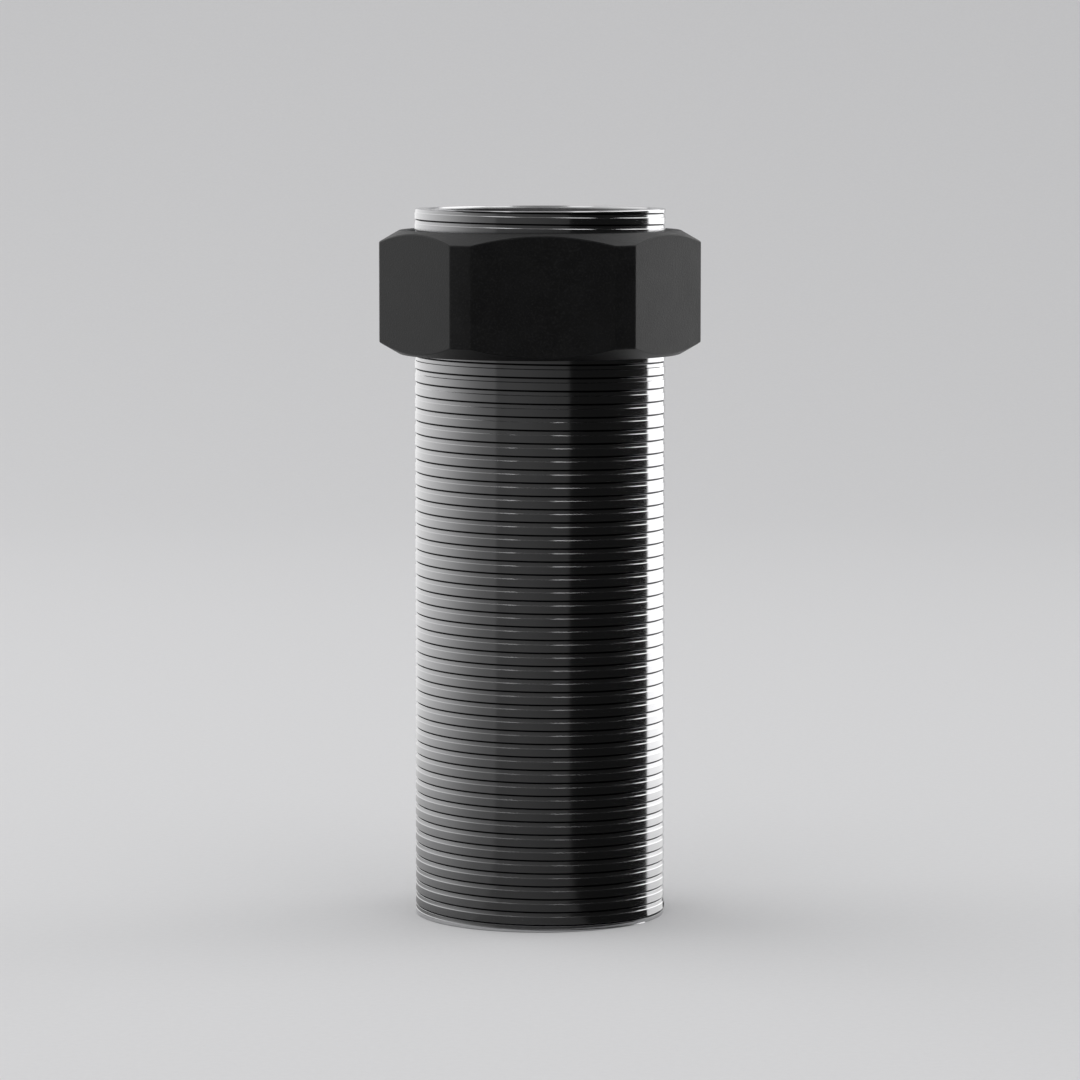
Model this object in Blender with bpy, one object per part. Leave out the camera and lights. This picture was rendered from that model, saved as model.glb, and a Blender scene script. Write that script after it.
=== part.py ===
"""Straight pipe nipple with a hex lock nut, in metres, +Z up.

The nipple stands on its lower end, and the origin is the centre of that end. The nut sits where it has
been run up the main thread, and it travels down along Z. Solids have the size over the thread crests.
"""

import math

import bpy

# Nipple: a tube with a long main thread, a turned neck where that thread runs out, and a short end thread
NIPPLE_LENGTH = 0.1167
NIPPLE_DIAMETER = 0.041275
NIPPLE_WALL = 0.0024
BORE_CHAMFER = 0.0004
END_CHAMFER = 0.0002
END_THREAD_LENGTH = 0.0045
NECK_WIDTH = 0.0024
NECK_DEPTH = 0.00055

# Lock nut: a hex bar, faced, bored and turned down at its corners
THREAD_CLEARANCE = 0.0003
NUT_HEIGHT = 0.0203
NUT_WALL_AT_FLATS = 0.002875
NUT_CORNER_RISE = 0.00264
NUT_FACE_INSET = 0.0007
NUT_CHAMFER_ANGLE = math.radians(30)
NUT_COUNTERSINK = 0.0009
NUT_BELOW_END = 0.0035
NUT_TURN = math.radians(1.1)

# Facets round each turned surface, and the distance at which a ring's first and last points meet
TURNING_STEPS = 144
MERGE_DISTANCE = 0.00001

# Sizes that follow from the ones above
NIPPLE_RADIUS = NIPPLE_DIAMETER / 2
BORE_RADIUS = NIPPLE_RADIUS - NIPPLE_WALL
NECK_TOP = NIPPLE_LENGTH - END_THREAD_LENGTH
NUT_BORE_RADIUS = NIPPLE_RADIUS + THREAD_CLEARANCE
NUT_APOTHEM = NUT_BORE_RADIUS + NUT_WALL_AT_FLATS
NUT_CORNER_RADIUS = NUT_APOTHEM + NUT_CORNER_RISE
NUT_FACE_RADIUS = NUT_APOTHEM - NUT_FACE_INSET
NUT_CHAMFER_DROP = (NUT_CORNER_RADIUS - NUT_FACE_RADIUS) * math.tan(NUT_CHAMFER_ANGLE)
NUT_BOTTOM = NIPPLE_LENGTH - NUT_BELOW_END - NUT_HEIGHT


def clear_scene():
    for obj in list(bpy.data.objects):
        bpy.data.objects.remove(obj)


def metal(name, colour, roughness, metallic):
    material = bpy.data.materials.new(name)
    material.use_nodes = True
    shader = material.node_tree.nodes["Principled BSDF"]
    shader.inputs["Base Color"].default_value = (*colour, 1.0)
    shader.inputs["Roughness"].default_value = roughness
    shader.inputs["Metallic"].default_value = metallic
    return material


def add_object(name, points, edges, faces):
    mesh = bpy.data.meshes.new(name)
    mesh.from_pydata(points, edges, faces)
    obj = bpy.data.objects.new(name, mesh)
    bpy.context.collection.objects.link(obj)
    return obj


def turned_ring(name, outline):
    """A ring turned about Z from a closed (radius, height) outline that runs down its outer side."""
    points = [(radius, 0.0, height) for radius, height in outline]
    edges = [(i, (i + 1) % len(points)) for i in range(len(points))]
    ring = add_object(name, points, edges, [])
    turning = ring.modifiers.new("turning", "SCREW")
    turning.axis = "Z"
    turning.angle = math.tau
    turning.screw_offset = 0.0
    turning.steps = TURNING_STEPS
    turning.render_steps = TURNING_STEPS
    turning.use_merge_vertices = True
    turning.merge_threshold = MERGE_DISTANCE
    turning.use_smooth_shade = True
    return ring


def hex_bar(name, apothem, bottom, top):
    """A hexagonal prism about Z, with two of its flats facing along Y."""
    corner = apothem / math.cos(math.pi / 6)
    ring = [(corner * math.cos(i * math.pi / 3), corner * math.sin(i * math.pi / 3)) for i in range(6)]
    points = [(x, y, bottom) for x, y in ring] + [(x, y, top) for x, y in ring]
    sides = [(i, (i + 1) % 6, (i + 1) % 6 + 6, i + 6) for i in range(6)]
    ends = [tuple(reversed(range(6))), tuple(range(6, 12))]
    return add_object(name, points, [], sides + ends)


def make_nipple():
    """The tube, from its upper rim down the outside, past the neck, and back up the bore."""
    neck_radius = NIPPLE_RADIUS - NECK_DEPTH
    outline = [
        (NIPPLE_RADIUS - END_CHAMFER, NIPPLE_LENGTH),
        (NIPPLE_RADIUS, NIPPLE_LENGTH - END_CHAMFER),
        (NIPPLE_RADIUS, NECK_TOP),
        (neck_radius, NECK_TOP - NECK_DEPTH),
        (neck_radius, NECK_TOP - NECK_WIDTH + NECK_DEPTH),
        (NIPPLE_RADIUS, NECK_TOP - NECK_WIDTH),
        (NIPPLE_RADIUS, END_CHAMFER),
        (NIPPLE_RADIUS - END_CHAMFER, 0.0),
        (BORE_RADIUS + BORE_CHAMFER, 0.0),
        (BORE_RADIUS, BORE_CHAMFER),
        (BORE_RADIUS, NIPPLE_LENGTH - BORE_CHAMFER),
        (BORE_RADIUS + BORE_CHAMFER, NIPPLE_LENGTH),
    ]
    nipple = turned_ring("nipple", outline)
    nipple.data.materials.append(metal("bright_plated_steel", (0.57, 0.57, 0.575), 0.16, 1.0))
    return nipple


def make_lock_nut():
    """A hex bar cut to a turned blank that holds both chamfers, the bore and its countersinks."""
    sink_radius = NUT_BORE_RADIUS + NUT_COUNTERSINK
    blank_outline = [
        (NUT_FACE_RADIUS, NUT_HEIGHT),
        (NUT_CORNER_RADIUS, NUT_HEIGHT - NUT_CHAMFER_DROP),
        (NUT_CORNER_RADIUS, NUT_CHAMFER_DROP),
        (NUT_FACE_RADIUS, 0.0),
        (sink_radius, 0.0),
        (NUT_BORE_RADIUS, NUT_COUNTERSINK),
        (NUT_BORE_RADIUS, NUT_HEIGHT - NUT_COUNTERSINK),
        (sink_radius, NUT_HEIGHT),
    ]
    blank = turned_ring("lock_nut_blank", blank_outline)
    blank.hide_render = True
    blank.display_type = "WIRE"

    nut = hex_bar("lock_nut", NUT_APOTHEM, -NUT_HEIGHT, 2 * NUT_HEIGHT)
    nut.data.materials.append(metal("black_oxide_steel", (0.020, 0.020, 0.021), 0.5, 0.0))
    turned = nut.modifiers.new("turned_blank", "BOOLEAN")
    turned.operation = "INTERSECT"
    turned.solver = "EXACT"
    turned.object = blank
    blank.parent = nut
    nut.location = (0.0, 0.0, NUT_BOTTOM)
    nut.rotation_euler = (0.0, 0.0, NUT_TURN)
    return nut


clear_scene()
make_nipple()
make_lock_nut()
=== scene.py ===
import math

import bpy
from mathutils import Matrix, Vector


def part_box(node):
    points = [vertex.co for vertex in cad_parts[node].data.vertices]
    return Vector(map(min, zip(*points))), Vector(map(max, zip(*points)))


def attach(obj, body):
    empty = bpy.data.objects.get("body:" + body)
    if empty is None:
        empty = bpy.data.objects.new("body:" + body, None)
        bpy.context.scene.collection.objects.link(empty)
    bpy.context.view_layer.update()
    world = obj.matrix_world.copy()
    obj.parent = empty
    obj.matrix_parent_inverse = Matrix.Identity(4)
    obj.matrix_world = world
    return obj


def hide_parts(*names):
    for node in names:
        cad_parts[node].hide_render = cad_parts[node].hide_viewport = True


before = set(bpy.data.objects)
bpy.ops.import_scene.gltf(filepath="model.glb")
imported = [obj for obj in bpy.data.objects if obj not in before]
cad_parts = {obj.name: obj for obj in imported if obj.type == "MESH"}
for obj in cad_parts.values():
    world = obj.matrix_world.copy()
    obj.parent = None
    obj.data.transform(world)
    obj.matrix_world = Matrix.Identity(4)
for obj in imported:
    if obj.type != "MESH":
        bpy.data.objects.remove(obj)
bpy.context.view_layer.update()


# The nipple is one steel tube, threaded from end to end and plated bright. The main thread has broad flat
# crests, a sharp undercut below each crest and a shallow root that sweeps out to the next one. A turned neck
# under the nut ends it, and a short finer thread runs from there to the upper rim.
nipple_low, nipple_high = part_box("nipple")
crest_radius = (nipple_high[0] - nipple_low[0]) / 2
nipple_length = nipple_high[2]
main_pitch = 0.0254 / 12
end_pitch = 0.0254 / 14
# On its near side the photographed thread falls to the right, which is left-handed: -1. Right-handed is 1.
thread_hand = -1
turning_steps = 120
main_groove_height = 0.04348
end_groove_drop = 0.00212
end_thread_length = 0.0045
neck_width = 0.0024
neck_depth = 0.00055
neck_high = nipple_length - end_thread_length
neck_low = neck_high - neck_width
wall = 0.0024
bore_chamfer = 0.0004
rim_chamfer = 0.00012
# One pitch of the thread from the top of a crest down, as (depth below the crest, share of the pitch).
thread_form = [
    (0.0, 0.0),
    (0.0, 0.545),
    (0.00003, 0.556),
    (0.00047, 0.572),
    (0.00049, 0.605),
    (0.00047, 0.645),
    (0.00018, 0.684),
    (0.000140, 0.705),
    (0.000128, 0.780),
    (0.000110, 0.865),
    (0.000088, 0.945),
    (0.0, 1.0),
]
groove_share = 0.62
crease_angle = math.radians(12)
# Points that are this close together, or this close to a plane, count as touching.
on_plane = 1e-6


def deselect_all():
    if bpy.context.mode != "OBJECT":
        bpy.ops.object.mode_set(mode="OBJECT")
    bpy.ops.object.select_all(action="DESELECT")


def draw_outline(name, points):
    """A chain of edges in the plane of X and Z, drawn point by point as (radius, height)."""
    deselect_all()
    bpy.ops.mesh.primitive_plane_add(size=crest_radius)
    piece = bpy.context.object
    piece.name = name
    bpy.ops.object.mode_set(mode="EDIT")
    bpy.ops.mesh.select_mode(type="VERT")
    bpy.ops.mesh.merge(type="CENTER")
    bpy.ops.transform.translate(value=(points[0][0], 0, points[0][1]))
    for (radius, height), (next_radius, next_height) in zip(points, points[1:]):
        step = (next_radius - radius, 0, next_height - height)
        bpy.ops.mesh.extrude_vertices_move(TRANSFORM_OT_translate={"value": step})
    bpy.ops.object.mode_set(mode="OBJECT")
    return piece


def turn(piece, steps, angle=math.tau, drop=0.0, turns=1):
    """Turns the active outline about Z, falling by drop in each turn, and joins what meets."""
    bpy.ops.object.modifier_add(type="SCREW")
    screw = piece.modifiers[-1]
    screw.axis = "Z"
    screw.angle = angle
    screw.screw_offset = -drop
    screw.iterations = turns
    screw.steps = steps
    screw.render_steps = steps
    screw.use_merge_vertices = False
    bpy.ops.object.modifier_apply(modifier=screw.name)
    bpy.ops.object.mode_set(mode="EDIT")
    bpy.ops.mesh.select_all(action="SELECT")
    bpy.ops.mesh.remove_doubles(threshold=on_plane)
    bpy.ops.object.mode_set(mode="OBJECT")


def cut_level(height, **cleared):
    """Cuts the active piece with a level plane, and clears the side that is named."""
    bpy.ops.object.mode_set(mode="EDIT")
    bpy.ops.mesh.select_all(action="SELECT")
    bpy.ops.mesh.bisect(plane_co=(0, 0, height), plane_no=(0, 0, 1), threshold=on_plane / 10, **cleared)
    bpy.ops.object.mode_set(mode="OBJECT")


def pick_edges(piece, wanted, rims_only=False):
    """Selects the edges that a test wants, by their two ends, and stays in edit mode."""
    bpy.ops.object.mode_set(mode="EDIT")
    bpy.ops.mesh.select_mode(type="EDGE")
    bpy.ops.mesh.select_all(action="DESELECT" if rims_only else "SELECT")
    if rims_only:
        bpy.ops.mesh.select_non_manifold(use_wire=False, use_multi_face=False, use_non_contiguous=False)
    bpy.ops.object.mode_set(mode="OBJECT")
    points = piece.data.vertices
    picked = [edge for edge in piece.data.edges if edge.select]
    picked = [edge.index for edge in picked if wanted(*[points[i].co for i in edge.vertices])]
    bpy.ops.object.mode_set(mode="EDIT")
    bpy.ops.mesh.select_all(action="DESELECT")
    bpy.ops.object.mode_set(mode="OBJECT")
    for index in picked:
        piece.data.edges[index].select = True
    bpy.ops.object.mode_set(mode="EDIT")


def pick_rims(piece, *levels):
    """Selects the open rims at some levels, and stays in edit mode."""

    def at_a_level(start, end):
        return min(abs(start.z - level) + abs(end.z - level) for level in levels) < on_plane

    pick_edges(piece, at_a_level, rims_only=True)


def thread_run(name, radius, form, pitch, groove_height, low, high):
    """A run of thread between two levels, open at both ends, with a groove at a given height in front."""
    groove_at_start = groove_height + thread_hand * pitch / 4
    start = groove_at_start + groove_share * pitch
    start += math.ceil((high + pitch - start) / pitch) * pitch
    turns = math.ceil((start - low) / pitch) + 1
    run = draw_outline(name, [(radius - depth, start - share * pitch) for depth, share in form])
    turn(run, turning_steps, angle=-thread_hand * math.tau, drop=pitch, turns=turns)
    cut_level(low, clear_inner=True)
    cut_level(high, clear_outer=True)
    return run


def draw_in_end(piece, height, inward):
    """Draws the open end at a level in a little, as the chamfer that starts a thread."""
    cut_level(height + inward)
    pick_rims(piece, height)
    narrowing = 1 - abs(inward) / crest_radius
    bpy.ops.transform.resize(value=(narrowing, narrowing, 1), center_override=(0, 0, height))
    bpy.ops.object.mode_set(mode="OBJECT")


main_run = thread_run("main_thread", crest_radius, thread_form, main_pitch, main_groove_height, 0.0, neck_low)
draw_in_end(main_run, 0.0, rim_chamfer)
draw_in_end(main_run, neck_low, -rim_chamfer)
end_groove_height = nipple_length - end_groove_drop
end_run = thread_run(
    "end_thread", crest_radius, thread_form, end_pitch, end_groove_height, neck_high, nipple_length
)
draw_in_end(end_run, neck_high, rim_chamfer)
draw_in_end(end_run, nipple_length, -rim_chamfer)

bore_radius = crest_radius - wall
bore_run = draw_outline(
    "bore",
    [
        (bore_radius + bore_chamfer, 0.0),
        (bore_radius, bore_chamfer),
        (bore_radius, nipple_length - bore_chamfer),
        (bore_radius + bore_chamfer, nipple_length),
    ],
)
turn(bore_run, turning_steps)
neck_radius = crest_radius - neck_depth
neck_foot = neck_low + neck_depth
neck_head = neck_high - neck_depth
neck_run = draw_outline("neck", [(neck_radius, neck_head), (neck_radius, neck_foot)])
turn(neck_run, turning_steps)

deselect_all()
for run in (end_run, bore_run, neck_run, main_run):
    run.select_set(True)
bpy.context.view_layer.objects.active = main_run
bpy.ops.object.join()
nipple = main_run
nipple.name = "plated_nipple"
rim_pairs = [(0.0, 0.0), (nipple_length, nipple_length), (neck_low, neck_foot), (neck_high, neck_head)]
for first, second in rim_pairs:
    pick_rims(nipple, first, second)
    bpy.ops.mesh.bridge_edge_loops()
    bpy.ops.object.mode_set(mode="OBJECT")
bpy.ops.object.mode_set(mode="EDIT")
bpy.ops.mesh.select_all(action="SELECT")
bpy.ops.mesh.normals_make_consistent(inside=False)
bpy.ops.object.mode_set(mode="OBJECT")
bpy.ops.object.shade_smooth_by_angle(angle=crease_angle)


class Shade:
    """A value in a material's nodes. Sums on it add Math nodes, and make adds any other node."""

    def __init__(self, tree, socket=None):
        self.tree = tree
        self.socket = socket

    def make(self, kind, settings=None, output=0, **inputs):
        """Adds a node. Its inputs are named, or given by their place as i0, i1 and so on."""
        node = self.tree.nodes.new(kind)
        for name, value in (settings or {}).items():
            setattr(node, name, value)
        for name, value in inputs.items():
            socket = node.inputs[int(name[1:])] if name[1:].isdigit() else node.inputs[name.replace("_", " ")]
            if isinstance(value, Shade):
                self.tree.links.new(value.socket, socket)
            else:
                socket.default_value = value
        return Shade(self.tree, node.outputs[output])

    def sum(self, operation, first, second=0.0):
        return self.make("ShaderNodeMath", {"operation": operation}, i0=first, i1=second)

    def __add__(self, other):
        return self.sum("ADD", self, other)

    def __sub__(self, other):
        return self.sum("SUBTRACT", self, other)

    def __rsub__(self, other):
        return self.sum("SUBTRACT", other, self)

    def __mul__(self, other):
        return self.sum("MULTIPLY", self, other)

    __radd__ = __add__
    __rmul__ = __mul__

    def ramp(self, low, high):
        """0 below low, 1 above high, and smooth between."""
        settings = {"interpolation_type": "SMOOTHSTEP"}
        return self.make("ShaderNodeMapRange", settings, Value=self, From_Min=low, From_Max=high)

    def noise(self, stretch, detail):
        """Noise on the piece's own coordinates, with so many cycles a metre along each axis."""
        place = self.make("ShaderNodeTexCoord", output="Object")
        stretched = self.make("ShaderNodeMapping", Vector=place, Scale=stretch)
        return self.make("ShaderNodeTexNoise", Vector=stretched, Scale=1.0, Detail=detail)

    def mix(self, factor, first, second):
        """A colour between two colours. A Mix node has its colours at inputs 6 and 7 and at output 2."""
        settings = {"data_type": "RGBA"}
        return self.make("ShaderNodeMix", settings, output=2, i0=factor, i6=first, i7=second)


def new_material(name):
    """A material with a Principled shader, and a Shade to add its nodes with."""
    material = bpy.data.materials.new(name)
    material.use_nodes = True
    return material, material.node_tree.nodes["Principled BSDF"], Shade(material.node_tree)


def feed(shader, name, shade):
    shade.tree.links.new(shade.socket, shader.inputs[name])


plating, plating_shader, shade = new_material("bright_plating")
place = shade.make("ShaderNodeTexCoord", output="Object")
flat_place = shade.make("ShaderNodeVectorMath", {"operation": "MULTIPLY"}, i0=place, i1=(1, 1, 0))
radius = shade.make("ShaderNodeVectorMath", {"operation": "LENGTH"}, output="Value", i0=flat_place)
height = shade.make("ShaderNodeSeparateXYZ", output="Z", Vector=place)
# Where the grooves and the bore end, the finish and the painted groove shade fade over these heights and
# depths.
fade_height = 0.00005
wall_fade = (0.0005, 0.0010)
bore_fade = (0.00010, 0.00025)
groove_fade = (0.00034, 0.00015)
rim_fade = (nipple_length - 2 * fade_height, nipple_length - fade_height)
on_main = height.ramp(fade_height, 2 * fade_height) - height.ramp(neck_low - fade_height, neck_low)
on_end = height.ramp(neck_high, neck_high + fade_height) - height.ramp(*rim_fade)
off_bore = radius.ramp(*[bore_radius + depth for depth in wall_fade])
in_bore = 1 - radius.ramp(*[bore_radius + depth for depth in bore_fade])
below_crest = 1 - radius.ramp(*[crest_radius - depth for depth in groove_fade])
shaded_groove = (on_main + on_end) * off_bore * below_crest
turning_lines = shade.noise((60, 60, 7000), 2.0)
drawing_lines = shade.noise((6000, 6000, 40), 2.0)
smudges = shade.noise((70, 70, 45), 3.0)
worn = smudges.ramp(0.40, 0.80)
plate_colour = shade.mix(smudges, (0.53, 0.53, 0.54, 1), (0.60, 0.60, 0.605, 1))
# The deep slot under each crest gets a near-black colour: painted shade in the recess. The same mask also
# roughens it.
plate_with_groove_shade = shade.mix(shaded_groove, plate_colour, (0.025, 0.025, 0.027, 1))
bore_colour = shade.mix(drawing_lines, (0.34, 0.34, 0.35, 1), (0.48, 0.48, 0.485, 1))
feed(plating_shader, "Base Color", shade.mix(in_bore, plate_with_groove_shade, bore_colour))
bore_finish = drawing_lines * 0.10 + 0.20
bright_finish = 0.13
finish = worn * 0.03 + turning_lines * 0.07 + shaded_groove * 0.25 + in_bore * bore_finish + bright_finish
feed(plating_shader, "Roughness", finish)
plating_shader.inputs["Metallic"].default_value = 1.0
# The turning lines spread a reflection up and down, across their own run.
plating_shader.inputs["Anisotropic"].default_value = 0.8
plating_shader.inputs["Anisotropic Rotation"].default_value = 0.25
feed(
    plating_shader,
    "Normal",
    shade.make("ShaderNodeBump", Strength=0.2, Distance=0.000006, Height=turning_lines),
)
nipple.data.materials.append(plating)
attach(nipple, "nipple")
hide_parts("nipple")


# The lock nut is cut from hex bar, with its corners turned down to a round and both faces chamfered, and is
# finished in a matte black that shows a fine grain. Its edges are lightly broken.
nut_low, nut_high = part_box("lock_nut")
nut_bottom = nut_low[2]
nut_height = nut_high[2] - nut_low[2]
nut_apothem = 0.0238125
nut_corner_radius = (nut_high[0] - nut_low[0]) / 2
nut_face_inset = 0.0007
nut_face_radius = nut_apothem - nut_face_inset
nut_chamfer_angle = math.radians(30)
nut_turn = math.radians(1.1)
thread_clearance = 0.0003
nut_bore_radius = crest_radius + thread_clearance
nut_countersink = 0.0009
nut_edge = 0.00013
nut_edge_angle = math.radians(18)
nut_crease_angle = math.radians(9)
nut_turning_steps = 192
hex_corner_radius = nut_apothem / math.cos(math.pi / 6)
chamfer_drop = (nut_corner_radius - nut_face_radius) * math.tan(nut_chamfer_angle)

blank = draw_outline(
    "nut_blank",
    [
        (nut_face_radius, nut_height),
        (nut_corner_radius, nut_height - chamfer_drop),
        (nut_corner_radius, chamfer_drop),
        (nut_face_radius, 0.0),
        (nut_bore_radius + nut_countersink, 0.0),
        (nut_bore_radius, nut_countersink),
        (nut_bore_radius, nut_height - nut_countersink),
        (nut_bore_radius + nut_countersink, nut_height),
        (nut_face_radius, nut_height),
    ],
)
turn(blank, nut_turning_steps)
bpy.ops.object.mode_set(mode="EDIT")
bpy.ops.mesh.normals_make_consistent(inside=False)
deselect_all()
bpy.ops.mesh.primitive_cylinder_add(vertices=6, radius=hex_corner_radius, depth=3 * nut_height)
nut = bpy.context.object
nut.name = "black_lock_nut"
nut.rotation_euler = (0, 0, math.pi / 6)
nut.location = (0, 0, nut_height / 2)
bpy.ops.object.transform_apply(location=True, rotation=True)
bpy.ops.object.modifier_add(type="BOOLEAN")
cutting = nut.modifiers[-1]
cutting.operation = "INTERSECT"
cutting.solver = "EXACT"
cutting.object = blank
bpy.ops.object.modifier_apply(modifier=cutting.name)
bpy.data.objects.remove(blank)
bpy.ops.object.modifier_add(type="BEVEL")
breaking = nut.modifiers[-1]
breaking.width = nut_edge
breaking.segments = 1
breaking.limit_method = "ANGLE"
breaking.angle_limit = nut_edge_angle
bpy.ops.object.modifier_apply(modifier=breaking.name)

# Its bore is tapped with the same thread, whose crests clear the nipple's.
tapped_depth = 0.00046
tapped_form = [(0.0, 0.0), (0.0, 0.36), (-tapped_depth, 0.50), (-tapped_depth, 0.86), (0.0, 1.0)]
tapped_low = 2 * nut_countersink
tapped_high = nut_height - tapped_low


def down_the_bore(start, end):
    """True for an edge that runs down the plain wall of the bore."""
    farthest = max(math.hypot(start.x, start.y), math.hypot(end.x, end.y))
    return farthest < nut_bore_radius + 10 * on_plane and abs(start.z - end.z) > on_plane


tapping = thread_run("tapping", nut_bore_radius, tapped_form, main_pitch, tapped_low, tapped_low, tapped_high)
deselect_all()
tapping.select_set(True)
nut.select_set(True)
bpy.context.view_layer.objects.active = nut
pick_edges(nut, down_the_bore)
bpy.ops.mesh.delete(type="EDGE")
bpy.ops.object.mode_set(mode="OBJECT")
bpy.ops.object.join()
for half in (1, -1):
    pick_edges(nut, lambda start, end: (start.z - nut_height / 2) * half > 0, rims_only=True)
    bpy.ops.mesh.bridge_edge_loops()
    bpy.ops.object.mode_set(mode="OBJECT")
bpy.ops.object.mode_set(mode="EDIT")
bpy.ops.mesh.select_all(action="SELECT")
bpy.ops.mesh.normals_make_consistent(inside=False)
bpy.ops.object.mode_set(mode="OBJECT")
nut.rotation_euler = (0, 0, nut_turn)
nut.location = (0, 0, nut_bottom)
bpy.ops.object.transform_apply(location=True, rotation=True)
bpy.ops.object.shade_smooth_by_angle(angle=nut_crease_angle)

blackening, blackening_shader, shade = new_material("matte_blackening")
grain = shade.noise((3600, 3600, 3600), 4.0)
mottle = shade.noise((260, 260, 260), 4.0)
black = shade.mix(mottle.ramp(0.35, 0.7), (0.0065, 0.0065, 0.0068, 1), (0.0085, 0.0085, 0.0088, 1))
flecks = grain.ramp(0.45, 0.75) * 0.6
feed(blackening_shader, "Base Color", shade.mix(flecks, black, (0.020, 0.020, 0.0206, 1)))
feed(blackening_shader, "Roughness", grain * 0.20 + mottle * 0.08 + 0.34)
blackening_shader.inputs["Specular IOR Level"].default_value = 0.26
feed(blackening_shader, "Normal", shade.make("ShaderNodeBump", Strength=0.6, Distance=0.00006, Height=grain))
nut.data.materials.append(blackening)
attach(nut, "lock_nut")
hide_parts("lock_nut")


# The floor is a plain pale sheet that the nipple stands on, and it sweeps up behind into the backdrop.
sweep_far = 1.6
sweep_near = -3.0
sweep_half_width = 3.0
sweep_height = 2.4
sweep_radius = 0.9
deselect_all()
bpy.ops.mesh.primitive_plane_add(size=1)
floor = bpy.context.object
floor.name = "pale_sweep"
bpy.ops.object.mode_set(mode="EDIT")
sweep_depth = sweep_far - sweep_near
bpy.ops.transform.resize(value=(2 * sweep_half_width, sweep_depth, 1))
bpy.ops.transform.translate(value=(0, (sweep_far + sweep_near) / 2, 0))
pick_edges(floor, lambda start, end: min(start.y, end.y) > 0)
bpy.ops.mesh.extrude_edges_move(TRANSFORM_OT_translate={"value": (0, 0, sweep_height)})
pick_edges(floor, lambda start, end: min(start.y, end.y) > 0 and max(start.z, end.z) < on_plane)
bpy.ops.mesh.bevel(offset=sweep_radius, segments=24)
bpy.ops.object.mode_set(mode="OBJECT")
bpy.ops.object.shade_smooth()
paper, paper_shader, shade = new_material("pale_paper")
fibre = shade.noise((900, 900, 900), 4.0)
feed(paper_shader, "Base Color", shade.mix(fibre, (0.74, 0.74, 0.745, 1), (0.78, 0.78, 0.785, 1)))
paper_shader.inputs["Roughness"].default_value = 0.8
paper_shader.inputs["Specular IOR Level"].default_value = 0.0
floor.data.materials.append(paper)


# Glowing cards lie on the floor and stand up round the part, as a photographer sets cards for bright metal:
# dark in front, fading to pale at the left, black at the right and white behind it. Only the gloss shows
# them, so their glow is a painted reflection in the metal.
card_distance = 0.24
card_level = 0.0005
card_height = 0.57
card_gap = 0.0004
card_steps = 32
tent_height = 1.0
tent_tone = 0.25
# The bearings at which one card ends and the next begins, in degrees, counted from the camera to the right.
left_edge = -165
front_edge = -39
right_edge = 26
black_edge = 113.7
white_edge = 117.7
back_edge = 160
# Reach is counted out from the nipple's axis and then up. Between these, a card fades from near tone to far.
near_reach = 0.03
far_reach = 0.36


def card_outline(start, level, height):
    """A card's section, out along the floor and then up."""
    return [(start, level), (card_distance, level), (card_distance, height)]


def grey(tone):
    return (tone, tone, tone, 1)


def gloss_card(name, outline, first, last, near_tones, far_tones, centre=(0, 0)):
    """A glowing card, a painted reflection, between two bearings: a tone at each near the part, another far
    from it.
    """
    card = draw_outline(name, outline)
    turn(card, card_steps, angle=math.radians(last - first))
    card.rotation_euler = (0, 0, math.radians(first - 90))
    card.location = (*centre, 0)
    bpy.ops.object.transform_apply(location=True, rotation=True)
    card.visible_camera = False
    card.visible_diffuse = False
    card.visible_shadow = False
    reflected_glow, reflected_glow_shader, shade = new_material(name + "_face")
    spot = shade.make("ShaderNodeTexCoord", output="Object")
    across, behind, above = [shade.make("ShaderNodeSeparateXYZ", output=axis, Vector=spot) for axis in "XYZ"]
    bearing = shade.sum("ARCTAN2", across, 0 - behind)
    turned = bearing.ramp(math.radians(first), math.radians(last))
    reach = shade.sum("SQRT", across * across + behind * behind) + above
    near, far = [shade.mix(turned, grey(tones[0]), grey(tones[1])) for tones in (near_tones, far_tones)]
    # The card has no colour of its own. It glows with its tones, and the metal shows that glow as a painted
    # reflection.
    reflected_glow_shader.inputs["Base Color"].default_value = (0, 0, 0, 1)
    reflected_glow_shader.inputs["Specular IOR Level"].default_value = 0.0
    feed(reflected_glow_shader, "Emission Color", shade.mix(reach.ramp(near_reach, far_reach), near, far))
    reflected_glow_shader.inputs["Emission Strength"].default_value = 1.0
    reflected_glow.cycles.emission_sampling = "NONE"
    card.data.materials.append(reflected_glow)


card_start = crest_radius + card_gap
side_outline = card_outline(card_start, card_level, card_height)
front_outline = card_outline(card_start, card_level, tent_height)
gloss_card("left_card", side_outline, left_edge, front_edge, (0.42, 0.090), (1.15, 0.135))
gloss_card("front_card", front_outline, front_edge, right_edge, (0.060, 0.036), (0.078, 0.047))
gloss_card("right_card", side_outline, right_edge, black_edge, (0.008, 0.008), (0.010, 0.010))
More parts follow.
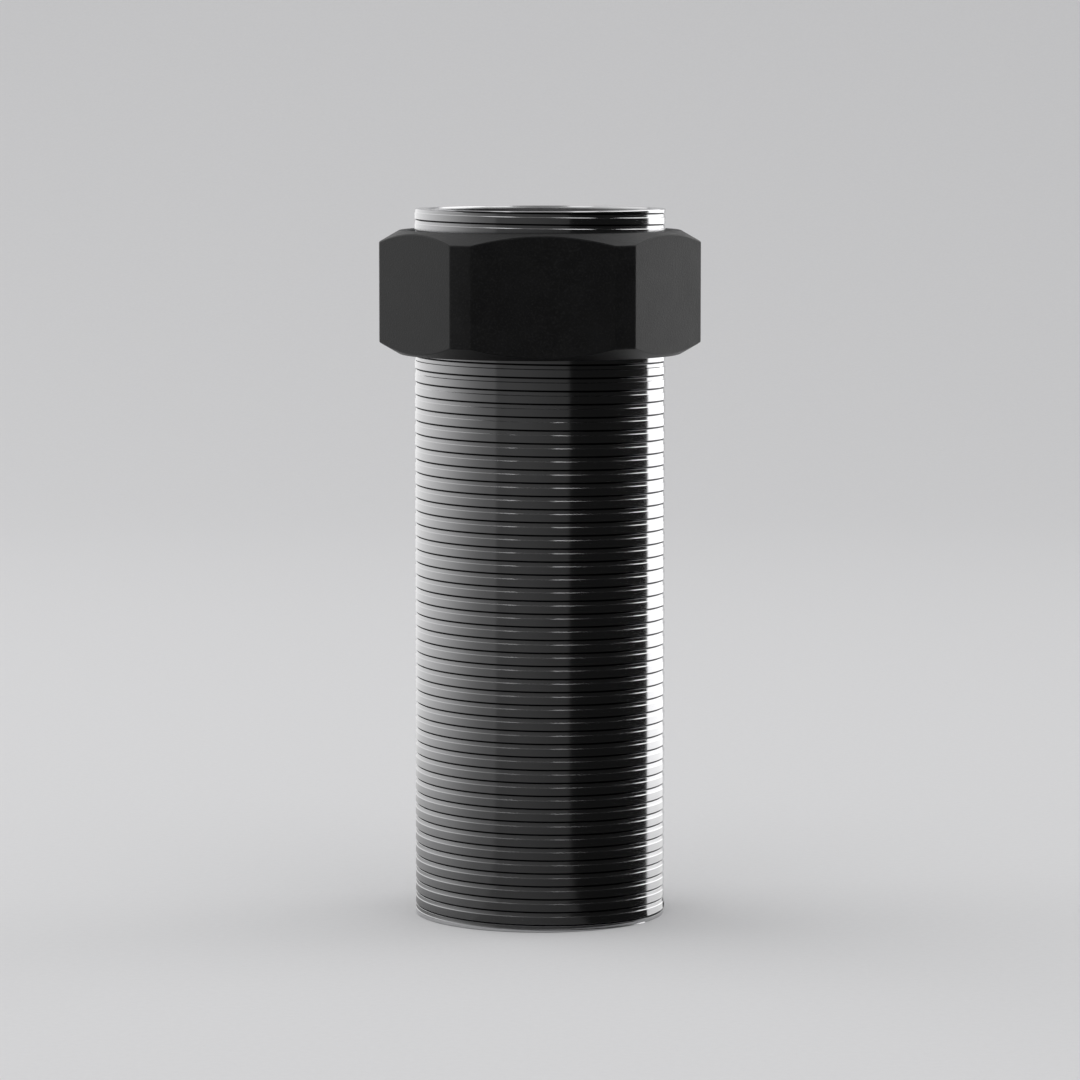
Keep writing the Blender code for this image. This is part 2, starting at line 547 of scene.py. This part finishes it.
# The white card starts from the spot on the nipple where its edge is reflected, and lies over the black one.
edge_spot = math.radians(white_edge / 2)
white_spot = (crest_radius * math.sin(edge_spot), -crest_radius * math.cos(edge_spot))
white_outline = card_outline(card_gap, 2 * card_level, card_height)
gloss_card("white_card", white_outline, white_edge, back_edge, (0.9, 0.9), (1.95, 1.95), white_spot)
top_outline = [(card_gap, tent_height), (card_distance, tent_height)]
gloss_card("top_card", top_outline, -180, 180, (tent_tone, tent_tone), (tent_tone, tent_tone))


# A pale surround and soft boxes light the part: one behind it at each side, the left one broader, and a large
# one overhead.
surround = bpy.data.worlds.new("pale_surround")
surround.use_nodes = True
surround.node_tree.nodes["Background"].inputs["Color"].default_value = (0.80, 0.80, 0.81, 1)
surround.node_tree.nodes["Background"].inputs["Strength"].default_value = 0.62
bpy.context.scene.world = surround


def soft_box(name, place, aim, size, radiance):
    """An area lamp at a place, facing a point, with a width and a height."""
    deselect_all()
    bpy.ops.object.light_add(type="AREA", location=place)
    lamp = bpy.context.object
    lamp.name = name
    lamp.data.shape = "RECTANGLE"
    lamp.data.size, lamp.data.size_y = size
    lamp.data.energy = radiance * math.pi * size[0] * size[1]
    away = [a - p for a, p in zip(aim, place)]
    across = math.hypot(away[0], away[1])
    lamp.rotation_euler = (math.atan2(across, -away[2]), 0, math.atan2(-away[0], away[1]))


middle = (0, 0, nipple_length / 2)
soft_box("left_box", (-0.85, 0.35, 0.60), middle, (1.2, 1.0), 0.8)
soft_box("right_fill", (0.85, 0.35, 0.75), middle, (0.6, 0.8), 0.7)
soft_box("overhead", (0.0, -0.2, 1.3), middle, (1.4, 1.6), 0.85)


# The camera stands in front, a little above the upper rim, as the photographer's did.
camera_distance = 0.7647
camera_height = 0.1357
aim_height = 0.0620
deselect_all()
bpy.ops.object.camera_add(location=(0, -camera_distance, camera_height))
camera = bpy.context.object
camera.rotation_euler = (math.pi / 2 - math.atan2(camera_height - aim_height, camera_distance), 0, 0)
camera.data.sensor_width = 36.0
camera.data.lens = 154.9
bpy.context.scene.camera = camera
bpy.context.scene.view_settings.view_transform = "Standard"
